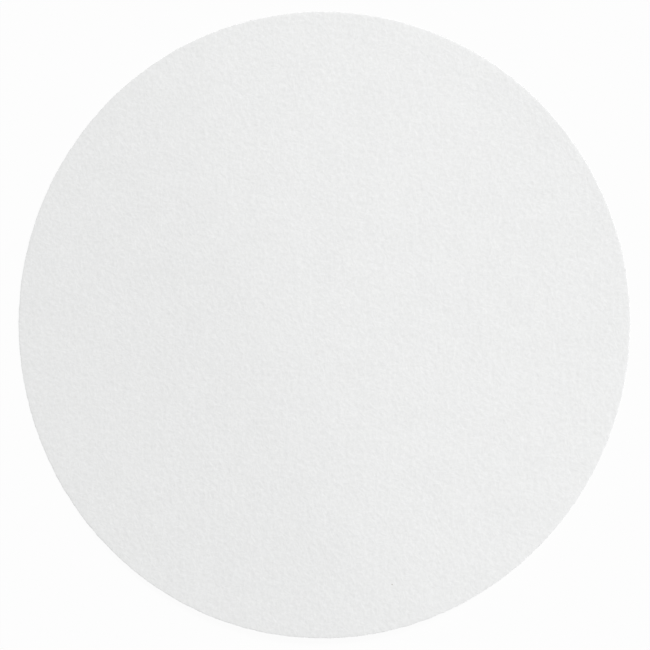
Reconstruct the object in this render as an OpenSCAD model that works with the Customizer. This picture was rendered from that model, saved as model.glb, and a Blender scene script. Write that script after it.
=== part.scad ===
// Filter paper disc: one plain circle of uncreped cellulose filter paper, cut flat from the web
// with a round die.
// Frame: origin at the centre of the underside, +Z up through the sheet. The felt side faces up.
// It lies flat, and its underside is the face that rests on a funnel plate or a bench.

/* [Disc] */
// Diameter of the circle, a stock size that fits the plate of a suction funnel
disc_d = 110; // [90:1:150]
// Thickness of the sheet away from its rim
sheet_t = 0.2; // [0.16:0.01:0.4]

/* [Cut edge] */
// Width of the ring round the rim that the die pressed down as it cut
press_w = 0.3; // [0.2:0.05:1]
// How far the top of that ring has sunk at the rim
press_drop = 0.015; // [0.005:0.005:0.08]
// Rounding of the upper arris, where the die went in
arris_r = 0.03; // [0.01:0.005:0.05]

/* [Hidden] */
$fn = 180;
disc_r = disc_d / 2;
paper_white = [0.93, 0.935, 0.93];
// The pressed ring slopes down to the rim by this angle.
press_slope = atan2(press_drop, press_w);
// Height of the arris arc's centre: the arc touches the sloping ring above and the cut wall outside.
arris_z = sheet_t - press_drop * (press_w - arris_r) / press_w - arris_r / cos(press_slope);
// The slope ends this far inside the arc, so that the two always join at any size.
tuck = 0.00002;
arris_top = [
    disc_r - arris_r + (arris_r - tuck) * sin(press_slope),
    arris_z + (arris_r - tuck) * cos(press_slope)
];

// Half of the sheet's section, from its centre out to the rim.
module half_section() {
    polygon([
        [0, 0],
        [disc_r, 0],
        [disc_r, arris_z],
        [disc_r - arris_r, arris_z],
        arris_top,
        [disc_r - press_w, sheet_t],
        [0, sheet_t]
    ]);
    translate([disc_r - arris_r, arris_z])
        intersection() {
            circle(r = arris_r);
            square(arris_r);
        }
}

// The whole disc: flat faces above and below, with one pressed and cut rim all round.
module filter_disc() {
    color(paper_white)
        rotate_extrude()
            half_section();
}

filter_disc();
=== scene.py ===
# %% [markdown]
# # A filter paper disc
#
# This file dresses one part: a plain circle of white laboratory filter paper, lying on a pale
# table. The real thing is a single sheet of felted cotton fibre, a fifth of a millimetre thick,
# and everything that makes it look like paper is small: a slight curl, a cut edge, a felt tooth
# and the fibres themselves. Each gets its own step below, from the largest to the smallest.
#
# The CAD model comes first. It fixes the size and the place of the part, and nothing here moves it.

# %% Load the fixed frame
import math

import bmesh
import bpy
from mathutils import Matrix, Vector, noise


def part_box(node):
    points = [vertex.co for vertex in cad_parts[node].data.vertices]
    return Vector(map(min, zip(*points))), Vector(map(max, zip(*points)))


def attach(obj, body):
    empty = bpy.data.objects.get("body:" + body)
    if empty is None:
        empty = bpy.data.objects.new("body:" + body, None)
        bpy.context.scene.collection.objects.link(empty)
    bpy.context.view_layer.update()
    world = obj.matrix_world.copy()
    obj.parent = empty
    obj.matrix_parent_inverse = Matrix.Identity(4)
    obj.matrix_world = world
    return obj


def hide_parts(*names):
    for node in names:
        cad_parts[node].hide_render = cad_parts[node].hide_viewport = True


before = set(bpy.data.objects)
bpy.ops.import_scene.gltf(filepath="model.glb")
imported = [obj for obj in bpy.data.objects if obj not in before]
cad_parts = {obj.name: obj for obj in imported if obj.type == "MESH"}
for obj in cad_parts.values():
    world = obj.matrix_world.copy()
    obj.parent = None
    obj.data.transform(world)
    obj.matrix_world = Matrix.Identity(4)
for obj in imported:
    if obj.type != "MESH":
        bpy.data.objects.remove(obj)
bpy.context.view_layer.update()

print("pieces in the frame:", sorted(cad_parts))

# %% [markdown]
# ## Measures
#
# The disc's radius and thickness are read from the CAD node, so this file follows the part if its
# size changes. The cut edge repeats the CAD's own section: a ring that the die pressed down, a
# small rounded arris, and a straight cut wall under it.

# %% Radius, thickness and the section of the cut edge
MM = 0.001
low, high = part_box("filter_disc")
radius = (high.x - low.x) / 2
thickness = high.z - low.z
press_width = 0.3 * MM
press_drop = 0.015 * MM
arris = 0.03 * MM
print(f"radius {radius / MM:.2f} mm, thickness {thickness / MM:.3f} mm")

# %% [markdown]
# ## How the sheet lies
#
# Filter paper is made on a reel, so a cut disc remembers the reel: it bends gently about one line,
# and laid with the bend upwards it touches the table at two opposite edges. The bend is not quite
# even. Part of it is gathered in one soft band, where the stack of discs was once flexed, and the
# two ends relax a little.
#
# A sheet only bends, it does not stretch, so one height for each point is enough to describe it.
# The slope across the bend is written as a sum of four plain terms, and its integral is the
# height. Places and widths across the bend are shares of the radius, from -1 to 1. A few long,
# shallow waves are added for the cockle that damp air leaves in any paper.

# %% Height of the sheet's underside over the table
curl_turn = math.radians(20)
even_slope = 0.045
band_slope = 0.016
band_place = -0.13
band_width = 0.17
end_ease = 0.0125
end_sway = 0.022
# Each wave has a length, a height and a seed.
cockle_waves = [
    (38 * MM, 0.060 * MM, 11.0),
    (21 * MM, 0.022 * MM, 23.0),
    (12 * MM, 0.007 * MM, 37.0),
]


def bend_height(share):
    """Height of the bend at a share of the radius across it, before it is set down level."""
    even = even_slope * share**2 / 2
    band = band_slope * band_width * math.log(math.cosh((share - band_place) / band_width))
    ends = end_ease * share**4 / 4 + end_sway * share**9 / 9
    return -radius * (even + band - ends)


def lie(x, y):
    """How high the sheet lies at a point of the disc."""
    share = (x * math.cos(curl_turn) + y * math.sin(curl_turn)) / radius
    level = (bend_height(1) - bend_height(-1)) / 2 * share
    waves = sum(
        height * noise.noise(Vector((x / length, y / length, seed)))
        for length, height, seed in cockle_waves
    )
    return bend_height(share) - level + waves


bend_rise = lie(0, 0) - lie(radius * math.cos(curl_turn), radius * math.sin(curl_turn))
print(f"the bend is {bend_rise / MM:.2f} mm high")

# %% [markdown]
# ## The felt's relief
#
# Under a low light the face shows a tooth: clumps of fibre a millimetre or two across that stand
# a few thousandths of a millimetre proud. The larger clumps are real geometry, so that they are
# part of the mesh itself. Everything finer than the mesh can hold comes later, as a bump.
#
# Perlin noise is a good stand-in for clumps, because it has one main size and no repeats. Each
# entry below is one size of clump with its height, and the two faces get different seeds.

# %% Relief of one face of the felt
clumps = [
    (7.0 * MM, 0.0022 * MM),
    (4.2 * MM, 0.0025 * MM),
    (2.6 * MM, 0.0045 * MM),
    (1.7 * MM, 0.0071 * MM),
    (1.2 * MM, 0.0046 * MM),
]
clump_seed_step = 5.3


def felt(x, y, seed):
    """How far the felt stands proud of its mean face."""
    return sum(
        height * noise.noise(Vector((x / size, y / size, seed + clump_seed_step * number)))
        for number, (size, height) in enumerate(clumps)
    )


print(f"clumps from {clumps[0][0] / MM:.1f} down to {clumps[-1][0] / MM:.1f} mm across")

# %% [markdown]
# ## The sheet itself
#
# The sheet is one closed shell. A grid has even cells, which suit relief far better than the thin
# wedges of a filled circle, so each face starts as a square grid that is pressed into a disc: the
# squares round the middle become circles. The upper grid is the fine one. Its border is then
# extruded ring by ring down the pressed edge, round the arris and down the cut wall.
#
# Last, the wall is bridged to the grid of the underside. A bridge pairs two borders well when they
# have as many edges as each other and don't lie in one plane. So the border of the coarser
# underside is cut finer, and the underside waits a little too low until the bridge is made.

# %% A square grid pressed into a disc
upper_cells = 256
lower_cells = 128


def square_to_disc(a, b):
    """Maps a point of the square from -1 to 1 to the unit disc, so that squares become circles."""
    if a == 0 and b == 0:
        return 0.0, 0.0
    if abs(a) >= abs(b):
        reach, turn = a, math.pi / 4 * b / a
    else:
        reach, turn = b, math.pi / 2 - math.pi / 4 * a / b
    return reach * math.cos(turn), reach * math.sin(turn)


def disc_grid(bm, cells, reach, height):
    """Adds a grid of square cells to the mesh, pressed into a flat disc."""
    made = bmesh.ops.create_grid(bm, x_segments=cells, y_segments=cells, size=1)["verts"]
    for vert in made:
        x, y = square_to_disc(vert.co.x, vert.co.y)
        vert.co = Vector((x * reach, y * reach, height))
    return made


def border(verts):
    """The open edges round some vertices."""
    return list({edge for vert in verts for edge in vert.link_edges if edge.is_boundary})


shell = bmesh.new()
upper = disc_grid(shell, upper_cells, radius - press_width, thickness)
print("upper face:", len(shell.faces), "cells")

# %% Section of the rim, as rings from the pressed edge down to the underside
arris_steps = 3
press_turn = math.atan2(press_drop, press_width)
arris_foot = thickness - press_drop * (press_width - arris) / press_width - arris / math.cos(press_turn)
rim_rings = [(radius - press_width / 2, thickness - press_drop / 2)]
for step in range(arris_steps + 1):
    turn = (math.pi / 2 - press_turn) * (1 - step / arris_steps)
    rim_rings.append((radius - arris + arris * math.cos(turn), arris_foot + arris * math.sin(turn)))
rim_rings += [(radius, arris_foot / 2), (radius, 0)]
print(f"the cut wall is {arris_foot / MM:.3f} mm high, under an arris of {arris / MM:.2f} mm")

# %% Extrude the border down the rim
open_edges = border(upper)
for ring_radius, ring_height in rim_rings:
    grown = bmesh.ops.extrude_edge_only(shell, edges=open_edges)["geom"]
    ring = [item for item in grown if isinstance(item, bmesh.types.BMVert)]
    for vert in ring:
        out = Vector((vert.co.x, vert.co.y, 0)).normalized()
        vert.co = out * ring_radius + Vector((0, 0, ring_height))
    open_edges = border(ring)
print("cut edge:", len(rim_rings), "rings of", len(open_edges), "edges")

# %% Close the shell with the underside
lower = disc_grid(shell, lower_cells, radius - press_width, -thickness)
bmesh.ops.subdivide_edges(shell, edges=border(lower), cuts=upper_cells // lower_cells - 1)
bmesh.ops.bridge_loops(shell, edges=[edge for edge in shell.edges if edge.is_boundary])
for vert in shell.verts:
    vert.co.z = max(vert.co.z, 0)
bmesh.ops.recalc_face_normals(shell, faces=shell.faces)
plain_volume = math.pi * radius**2 * thickness
print("shell:", len(shell.faces), "faces, open edges:", sum(edge.is_boundary for edge in shell.edges))
print(f"volume {shell.calc_volume() / MM**3:.1f} mm3, of a plain disc's {plain_volume / MM**3:.1f}")

# %% [markdown]
# ## A map for the patterns
#
# Paper is flat, so its map is simply the plan: the place on the disc is the place on the map. The
# felt is the same idea on both faces, so they share it. The cut wall stands upright and would have
# no width in plan, so it is folded out round the rim as a narrow ring.

# %% Unfold the flat shell
wall_stretch = 4
wall_normal_height = 0.5
map_margin = 1.02
plan = shell.loops.layers.uv.new("OFBake")
map_width = (radius + thickness * wall_stretch) * map_margin * 2
for face in shell.faces:
    upright = abs(face.normal.z) < wall_normal_height
    for loop in face.loops:
        x, y, z = loop.vert.co
        grow = 1 + (arris_foot - min(z, arris_foot)) * wall_stretch / radius if upright else 1
        loop[plan].uv = (0.5 + x * grow / map_width, 0.5 + y * grow / map_width)
print("the disc fills", round(2 * radius / map_width, 3), "of the map")

# %% [markdown]
# ## Bend the shell, and roughen it
#
# The flat shell now takes the lie of the sheet, with the relief of the upper felt on top and that
# of the lower felt underneath. The die leaves the rim slightly ragged, because it tears the last
# fibres instead of cutting them, so the outermost rings wander in and out by a few hundredths
# of a millimetre. Last, the whole shell is set down so that it just touches the table.

# %% Move every vertex to its place
upper_seed = 3.0
lower_seed = 71.0
ragged_seed = 9.1
ragged_reach = 0.15 * MM
ragged_sizes = [(1.6 * MM, 0.065 * MM), (0.6 * MM, 0.055 * MM)]
for vert in shell.verts:
    x, y, z = vert.co
    share = z / thickness
    vert.co.z = z + lie(x, y) + share * felt(x, y, upper_seed) - (1 - share) * felt(x, y, lower_seed)
    out = math.hypot(x, y)
    if out > radius - ragged_reach:
        wander = sum(
            height * noise.noise(Vector((x / size, y / size, z / size + ragged_seed)))
            for size, height in ragged_sizes
        )
        vert.co.x += x / out * wander
        vert.co.y += y / out * wander

# %% Set the shell down and keep it as a piece
floor_gap = min(vert.co.z for vert in shell.verts)
bmesh.ops.translate(shell, vec=(0, 0, -floor_gap), verts=shell.verts)
for face in shell.faces:
    face.smooth = True
print(f"highest point {max(vert.co.z for vert in shell.verts) / MM:.2f} mm over the table")

paper_mesh = bpy.data.meshes.new("paper_disc")
shell.to_mesh(paper_mesh)
shell.free()
paper = bpy.data.objects.new("paper_disc", paper_mesh)
bpy.context.scene.collection.objects.link(paper)
print("triangles:", sum(len(face.vertices) - 2 for face in paper_mesh.polygons))

# %% [markdown]
# ## Node helpers
#
# The finish is made of a few patterns that both the faces and the cut edge use, so each pattern
# is a node group. These helpers keep the node code short: one adds a node and joins its inputs,
# and one opens a group with named sockets.

# %% Add nodes and groups
FLOAT = "NodeSocketFloat"
VECTOR = "NodeSocketVector"


def fill_inputs(tree, node, inputs):
    """Joins or fills a node's inputs by name or number."""
    for name, value in dict(inputs).items():
        if isinstance(value, bpy.types.NodeSocket):
            tree.links.new(value, node.inputs[name])
        else:
            node.inputs[name].default_value = value


def add_node(tree, kind, inputs=(), **settings):
    """Adds a node, sets its properties, then fills or joins its inputs."""
    node = tree.nodes.new(kind)
    for name, value in settings.items():
        setattr(node, name, value)
    fill_inputs(tree, node, inputs)
    return node


def math_node(tree, operation, *values, clamp=False):
    """A Math node's result."""
    inputs = dict(enumerate(values))
    return add_node(tree, "ShaderNodeMath", inputs, operation=operation, use_clamp=clamp).outputs[0]


def vector_node(tree, operation, inputs):
    """A Vector Math node, with its inputs by number or name."""
    return add_node(tree, "ShaderNodeVectorMath", inputs, operation=operation)


def new_group(name, inputs, outputs):
    """A shader node group with the sockets given, and its two end nodes."""
    group = bpy.data.node_groups.new(name, "ShaderNodeTree")
    for label, kind in inputs.items():
        group.interface.new_socket(name=label, in_out="INPUT", socket_type=kind)
    for label, kind in outputs.items():
        group.interface.new_socket(name=label, in_out="OUTPUT", socket_type=kind)
    return group, group.nodes.new("NodeGroupInput"), group.nodes.new("NodeGroupOutput")


def in_plan(group, place):
    """The place seen from above: its height is dropped, so a pattern is the same all the way down."""
    return vector_node(group, "MULTIPLY", {0: place, 1: (1, 1, 0)}).outputs["Vector"]


# %% [markdown]
# ## Fibres
#
# Filter paper is a felt of cotton fibres, each a millimetre or two long, bent, and lying any way
# round. To draw them, the plane is dealt out to scattered points, which a Voronoi texture does:
# it gives every place the nearest point and a random colour that belongs to that point. The
# colour turns the plane about the point and bends it a little, and the fibre is then simply the
# strip close to the turned axis. One such layer is sparse, so several are laid over each other.
#
# A bump works its height out three times, and a shader has only so much memory for numbers that
# wait. Ten layers side by side are too much for it, and the normal then comes out black without a
# word. So each layer's place leans by a hair on the layer below it. That changes nothing to see,
# but it makes the layers come one after another, and each then needs the same few numbers.

# %% Deal the plane out to scattered points
hair = 0.000001


def scatter(group, place, per_metre, seed, below):
    """The place as its nearest point sees it, and three chances that belong to the point."""
    scaled = vector_node(group, "SCALE", {0: in_plan(group, place), "Scale": per_metre}).outputs["Vector"]
    leaning = math_node(group, "MULTIPLY_ADD", below, hair, seed)
    away = add_node(group, "ShaderNodeCombineXYZ", {"X": leaning, "Y": seed}).outputs["Vector"]
    dealt = vector_node(group, "ADD", {0: scaled, 1: away}).outputs["Vector"]
    cells = add_node(
        group,
        "ShaderNodeTexVoronoi",
        {"Vector": dealt, "Scale": 1.0},
        voronoi_dimensions="2D",
    ).outputs
    local = vector_node(group, "SUBTRACT", {0: dealt, 1: cells["Position"]}).outputs["Vector"]
    chance = add_node(group, "ShaderNodeSeparateColor", {"Color": cells["Color"]}).outputs
    return local, chance


# %% Turn the plane about each point, and bend it
def turn_and_bend(group, local, chance, bend):
    """How far along and how far aside of its fibre a place lies."""
    angle = math_node(group, "MULTIPLY", chance["Red"], math.pi)
    turned = add_node(
        group,
        "ShaderNodeVectorRotate",
        {"Vector": local, "Angle": angle},
        rotation_type="Z_AXIS",
    ).outputs["Vector"]
    part = add_node(group, "ShaderNodeSeparateXYZ", {"Vector": turned}).outputs
    one_way = math_node(group, "SUBTRACT", chance["Green"], 0.5)
    lean = math_node(group, "MULTIPLY", one_way, bend)
    squared = math_node(group, "MULTIPLY", part["X"], part["X"])
    sway = math_node(group, "MULTIPLY", squared, lean)
    return part["X"], math_node(group, "ADD", part["Y"], sway)


def share_of_half(group, way, size, per_metre):
    """A distance from the middle of a fibre, as a share of half its size."""
    half = math_node(group, "MULTIPLY", math_node(group, "MULTIPLY", size, per_metre), 0.5)
    return math_node(group, "ABSOLUTE", math_node(group, "DIVIDE", way, half))


# %% One sparse layer of bent fibres
end_bluntness = 4.0
side_roundness = 2.0
layer_inputs = {
    "Place": VECTOR,
    "Below": FLOAT,
    "Seed": FLOAT,
    "Spacing": FLOAT,
    "Length": FLOAT,
    "Width": FLOAT,
    "Bend": FLOAT,
}


def make_fibre_layer():
    """One fibre to each scattered point, blunt at its ends and round across, over what is below."""
    group, start, end = new_group("fibre layer", layer_inputs, {"Fibre": FLOAT})
    given = start.outputs
    per_metre = math_node(group, "DIVIDE", 1.0, given["Spacing"])
    local, chance = scatter(group, given["Place"], per_metre, given["Seed"], given["Below"])
    along, aside = turn_and_bend(group, local, chance, given["Bend"])
    lengthways = share_of_half(group, along, given["Length"], per_metre)
    sideways = share_of_half(group, aside, given["Width"], per_metre)
    end_fall = math_node(group, "POWER", lengthways, end_bluntness)
    side_fall = math_node(group, "POWER", sideways, side_roundness)
    fall = math_node(group, "ADD", end_fall, side_fall)
    body = math_node(group, "SUBTRACT", 1.0, fall, clamp=True)
    group.links.new(math_node(group, "MAXIMUM", body, given["Below"]), end.inputs["Fibre"])
    return group


fibre_layer = make_fibre_layer()
print("fibre layer:", len(fibre_layer.nodes), "nodes")

# %% A felt of several layers
layer_seed_step = 17.3
layer_spread = 0.07
layer_stretch = 0.05


def make_felt(name, layers, spacing, length, width, bend, seed):
    """Lays several fibre layers over each other, and keeps the highest at every place."""
    group, start, end = new_group(name, {"Place": VECTOR}, {"Felt": FLOAT})
    top = 0.0
    for number in range(layers):
        sizes = {
            "Place": start.outputs["Place"],
            "Below": top,
            "Seed": seed + layer_seed_step * number,
            "Spacing": spacing * (1 + layer_spread * number),
            "Length": length * (1 + layer_stretch * number),
            "Width": width * (1 - layer_stretch * number),
            "Bend": bend,
        }
        layer = add_node(group, "ShaderNodeGroup", node_tree=fibre_layer)
        fill_inputs(group, layer, sizes)
        top = layer.outputs["Fibre"]
    group.links.new(top, end.inputs["Felt"])
    print(f"{name}: {layers} layers of fibres {length / MM:.1f} mm long")
    return group


coarse_felt = make_felt(
    "coarse felt",
    layers=6,
    spacing=1.7 * MM,
    length=1.9 * MM,
    width=0.34 * MM,
    bend=1.4,
    seed=5.0,
)
fine_felt = make_felt(
    "fine felt",
    layers=4,
    spacing=0.9 * MM,
    length=1.1 * MM,
    width=0.07 * MM,
    bend=1.2,
    seed=211.0,
)

# %% [markdown]
# ## Tooth, clouds and specks
#
# Between the fibres lies the tooth, a soft even grain. Its sizes are the ones that are too small
# for the mesh.
#
# Relief alone isn't enough: under one lamp it only shows slopes that face the lamp or turn from
# it, and so it gets a grain that runs one way, like embossed leather. So the tone is mottled at the
# size of the fibre clumps, which looks the same from every side: partly the pulp's own uneven tone,
# partly painted shade of the hollows between the clumps. The pulp is also slightly cloudy over
# several millimetres, because it never settles quite evenly.
#
# Good paper is clean, but a circle this size still holds a speck or two of bark, one dark and the
# others deep in the sheet and faint.

# %% Height of the finest relief, in metres
coarse_rise = 0.0046 * MM
fine_rise = 0.0003 * MM
# Each grain has a size and a height.
grains = [(1.05 * MM, 0.0163 * MM), (0.6 * MM, 0.0156 * MM)]


def plane_noise(group, plane, size, detail=0.0, roughness=0.5):
    """Soft noise in the plane, from 0 to 1, with its largest size given in metres."""
    inputs = {"Vector": plane, "Scale": 1 / size, "Detail": detail, "Roughness": roughness}
    return add_node(group, "ShaderNodeTexNoise", inputs, noise_dimensions="2D").outputs["Fac"]


def make_tooth():
    """The height of fibres and grain together, and where the fibres lie."""
    group, start, end = new_group("tooth", {"Place": VECTOR}, {"Height": FLOAT, "Fibres": FLOAT})
    plane = in_plan(group, start.outputs["Place"])
    coarse = add_node(group, "ShaderNodeGroup", {"Place": plane}, node_tree=coarse_felt).outputs["Felt"]
    fine = add_node(group, "ShaderNodeGroup", {"Place": plane}, node_tree=fine_felt).outputs["Felt"]
    height = math_node(group, "MULTIPLY", coarse, coarse_rise)
    height = math_node(group, "MULTIPLY_ADD", fine, fine_rise, height)
    for size, rise in grains:
        height = math_node(group, "MULTIPLY_ADD", plane_noise(group, plane, size), rise, height)
    group.links.new(height, end.inputs["Height"])
    group.links.new(math_node(group, "MAXIMUM", coarse, fine), end.inputs["Fibres"])
    return group


tooth = make_tooth()
print("tooth:", len(tooth.nodes), "nodes")

# %% Tone of the pulp, with painted shade in its mottle, from 0 to 1
cloud_size = 6 * MM
cloud_detail = 3.0
cloud_roughness = 0.6
mottle_size = 0.85 * MM
mottle_detail = 1.5
mottle_roughness = 1.0
# Each speck has a place, a size and a darkness.
specks = [
    ((14.2 * MM, -45.3 * MM), 0.16 * MM, 0.84),
    ((1.0 * MM, -5.1 * MM), 0.75 * MM, 0.09),
    ((-31.0 * MM, 22.0 * MM), 0.12 * MM, 0.25),
]


def make_pulp():
    """How cloudy and mottled the pulp is, the mottle partly painted shade, and how dark its specks are."""
    tones = {"Cloud": FLOAT, "Mottle": FLOAT, "Speck": FLOAT}
    group, start, end = new_group("pulp", {"Place": VECTOR}, tones)
    plane = in_plan(group, start.outputs["Place"])
    cloud = plane_noise(group, plane, cloud_size, cloud_detail, cloud_roughness)
    mottle = plane_noise(group, plane, mottle_size, mottle_detail, mottle_roughness)
    darkest = 0.0
    for (x, y), size, darkness in specks:
        gap = vector_node(group, "DISTANCE", {0: plane, 1: (x, y, 0)}).outputs["Value"]
        spot = math_node(group, "SUBTRACT", 1.0, math_node(group, "DIVIDE", gap, size), clamp=True)
        spot = math_node(group, "MULTIPLY", spot, darkness)
        darkest = math_node(group, "MAXIMUM", darkest, spot)
    group.links.new(cloud, end.inputs["Cloud"])
    group.links.new(mottle, end.inputs["Mottle"])
    group.links.new(darkest, end.inputs["Speck"])
    return group


pulp = make_pulp()
print(f"pulp: {len(specks)} specks, mottle of {mottle_size / MM:.2f} mm, clouds of {cloud_size / MM:.0f} mm")

# %% [markdown]
# ## The two materials
#
# Uncoated cotton paper is almost pure diffuse white. It has no gloss, only the faint sheen that
# all loose fibre has when seen along the surface. The faces and the cut edge are the same pulp,
# so they share the groups above. The cut edge is a little rougher, because there the fibre ends
# stand open, and its white is a touch darker, which is painted shade on the upright wall.

# %% Whites and tones
# Mottle and fibres only brighten the pulp, so these whites are its darkest tone.
felt_white = (0.7516, 0.7558, 0.7544)
# The cut edge's white is the face white a touch darker: painted shade on the upright wall.
edge_shaded_white = (0.7234, 0.7276, 0.7262)
bark_brown = (0.30, 0.26, 0.20, 1)
cloud_range = (0.3, 0.7)
cloud_tone = 0.009
# The mottle's tone is partly the pulp's own and partly painted shade of the hollows between the clumps.
mottle_tone_and_shade = 0.12
# The fibres' tone is partly their own whiteness and partly painted shade: they brighten where they stand
# proud, so the hollows between them stay darker.
fibre_tone_and_shade = 0.016
fibre_smoothing = -0.06
brightest = max(felt_white) * (1 + cloud_tone + mottle_tone_and_shade + fibre_tone_and_shade)
print(f"the pulp reflects {min(felt_white):.2f} to {brightest:.2f} of the light")

# %% Colour of the pulp
# A Mix node has sockets for every kind of value. These are its two colours, and the mixed one.
MIX_FROM, MIX_TO, MIX_RESULT = 6, 7, 2


def pulp_colour(tree, white, tone, fibres):
    """White, a little cloudy and mottled, brighter along the fibres, brown at a speck; the mottle and the
    fibres' brightening are partly painted shade in the hollows.
    """
    spread = {
        "Value": tone["Cloud"],
        "From Min": cloud_range[0],
        "From Max": cloud_range[1],
        "To Min": 1 - cloud_tone,
        "To Max": 1 + cloud_tone,
    }
    cloudy = add_node(tree, "ShaderNodeMapRange", spread).outputs["Result"]
    # The mottle is partly the pulp's own tone and partly painted shade that leaves the hollows darker.
    mottled = math_node(tree, "MULTIPLY_ADD", tone["Mottle"], mottle_tone_and_shade, cloudy)
    # The fibres' brightening is partly their own whiteness and partly painted shade, darker in the hollows
    # between the raised fibres.
    fibrous = math_node(tree, "MULTIPLY_ADD", fibres, fibre_tone_and_shade, mottled)
    clean = vector_node(tree, "SCALE", {0: white, "Scale": fibrous}).outputs["Vector"]
    stain = {"Factor": tone["Speck"], MIX_FROM: clean, MIX_TO: bark_brown}
    return add_node(tree, "ShaderNodeMix", stain, data_type="RGBA").outputs[MIX_RESULT]


# %% Felt faces and cut edge
def paper_material(name, white, roughness):
    """Paper with the shared tooth and pulp patterns, at the white and roughness it is given."""
    material = bpy.data.materials.new(name)
    material.use_nodes = True
    tree = material.node_tree
    place = add_node(tree, "ShaderNodeTexCoord").outputs["Object"]
    relief = add_node(tree, "ShaderNodeGroup", {"Place": place}, node_tree=tooth).outputs
    tone = add_node(tree, "ShaderNodeGroup", {"Place": place}, node_tree=pulp).outputs

    # The height is in metres already, so the bump takes it as it is.
    bump = {"Strength": 1.0, "Distance": 1.0, "Height": relief["Height"]}
    finish = {
        "Base Color": pulp_colour(tree, white, tone, relief["Fibres"]),
        "Roughness": math_node(tree, "MULTIPLY_ADD", relief["Fibres"], fibre_smoothing, roughness),
        "Specular IOR Level": 0.25,
        "Sheen Weight": 0.05,
        "Sheen Roughness": 0.6,
        "Normal": add_node(tree, "ShaderNodeBump", bump).outputs["Normal"],
    }
    fill_inputs(tree, tree.nodes["Principled BSDF"], finish)
    return material


edge_normal_height = 0.9
paper_mesh.materials.append(paper_material("felt_face", felt_white, roughness=0.95))
# The cut edge takes the darker white, painted shade on its upright faces.
paper_mesh.materials.append(paper_material("cut_edge", edge_shaded_white, roughness=1.0))
for face in paper_mesh.polygons:
    face.material_index = int(abs(face.normal.z) < edge_normal_height)
print("cut edge faces:", sum(face.material_index for face in paper_mesh.polygons))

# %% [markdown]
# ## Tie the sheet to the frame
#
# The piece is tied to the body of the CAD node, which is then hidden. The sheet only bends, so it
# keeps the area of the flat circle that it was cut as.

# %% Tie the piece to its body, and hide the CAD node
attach(paper, "root")
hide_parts("filter_disc")
print(f"cut as a circle {2 * radius / MM:.1f} mm across")

# %% [markdown]
# ## Table and light
#
# White paper on a white table is lit high, with one soft lamp up on the right to draw out the
# tooth, and a bright room to fill the shadows. The table glows, as a light table does, which keeps
# it white and leaves only a breath of shadow under the sheet.

# %% White table
table_size = 40
table_gap = 0.02 * MM
table_tone = 0.025
table_glow = 0.9565
bpy.ops.mesh.primitive_plane_add(size=table_size, location=(0, 0, -table_gap))
table = bpy.context.object
table.name = "table"
white_table = bpy.data.materials.new("white_table")
white_table.use_nodes = True
table_finish = {
    "Base Color": (table_tone, table_tone, table_tone, 1),
    "Roughness": 1.0,
    "Specular IOR Level": 0.0,
    "Emission Color": (1, 1, 1, 1),
    "Emission Strength": table_glow,
}
fill_inputs(white_table.node_tree, white_table.node_tree.nodes["Principled BSDF"], table_finish)
table.data.materials.append(white_table)
print("the table glows at", table_glow)

# %% Soft lamp
lamp_side = math.radians(40)
lamp_zenith = math.radians(50)
lamp = bpy.data.lights.new("soft_lamp", "SUN")
lamp.energy = 3.5
lamp.angle = math.radians(14)
lamp_object = bpy.data.objects.new("soft_lamp", lamp)
towards_lamp = Vector((
    math.cos(lamp_side) * math.sin(lamp_zenith),
    math.sin(lamp_side) * math.sin(lamp_zenith),
    math.cos(lamp_zenith),
))
lamp_object.location = towards_lamp
lamp_object.rotation_euler = towards_lamp.to_track_quat("Z", "Y").to_euler()
bpy.context.scene.collection.objects.link(lamp_object)
print("the lamp stands", round(90 - math.degrees(lamp_zenith)), "degrees over the table")

# %% Bright room
room_fill = 0.317
room_seen = 0.982
room = bpy.data.worlds.new("bright_room")
bpy.context.scene.world = room
room.use_nodes = True
room_tree = room.node_tree
room_tree.nodes.clear()
fill = add_node(room_tree, "ShaderNodeBackground", {"Color": (1, 1, 1, 1), "Strength": room_fill})
seen = add_node(room_tree, "ShaderNodeBackground", {"Color": (1, 1, 1, 1), "Strength": room_seen})
sight = add_node(room_tree, "ShaderNodeLightPath").outputs["Is Camera Ray"]
both = add_node(room_tree, "ShaderNodeMixShader", {0: sight, 1: fill.outputs[0], 2: seen.outputs[0]})
add_node(room_tree, "ShaderNodeOutputWorld", {"Surface": both.outputs[0]})
print("the room gives", room_fill, "of light, and shows as", room_seen)

# %% [markdown]
# ## Camera
#
# The camera looks almost straight down on the sheet, from a little to the right. A long lens keeps
# the circle close to round. Plain colour management shows the whites as they are.

# %% Place the camera
view_tilt = math.radians(11.62)
view_turn = math.radians(-7.06)
frame_fill = 0.9599
aim = Vector((1.92 * MM, -0.23 * MM, 0))
camera = bpy.data.cameras.new("camera")
camera.lens = 100
camera.sensor_width = 36
camera.clip_start = 0.01
camera_object = bpy.data.objects.new("camera", camera)
distance = 2 * radius * camera.lens / (camera.sensor_width * frame_fill)
towards_camera = Vector((
    math.sin(view_tilt) * math.cos(view_turn),
    math.sin(view_tilt) * math.sin(view_turn),
    math.cos(view_tilt),
))
camera_object.location = aim + towards_camera * distance
side = Vector((0, 1, 0)).cross(towards_camera).normalized()
stance = Matrix((side, towards_camera.cross(side), towards_camera)).transposed()
camera_object.rotation_euler = stance.to_euler()
bpy.context.scene.collection.objects.link(camera_object)
bpy.context.scene.camera = camera_object
bpy.context.scene.view_settings.view_transform = "Standard"
print(f"the camera is {distance:.3f} m away")
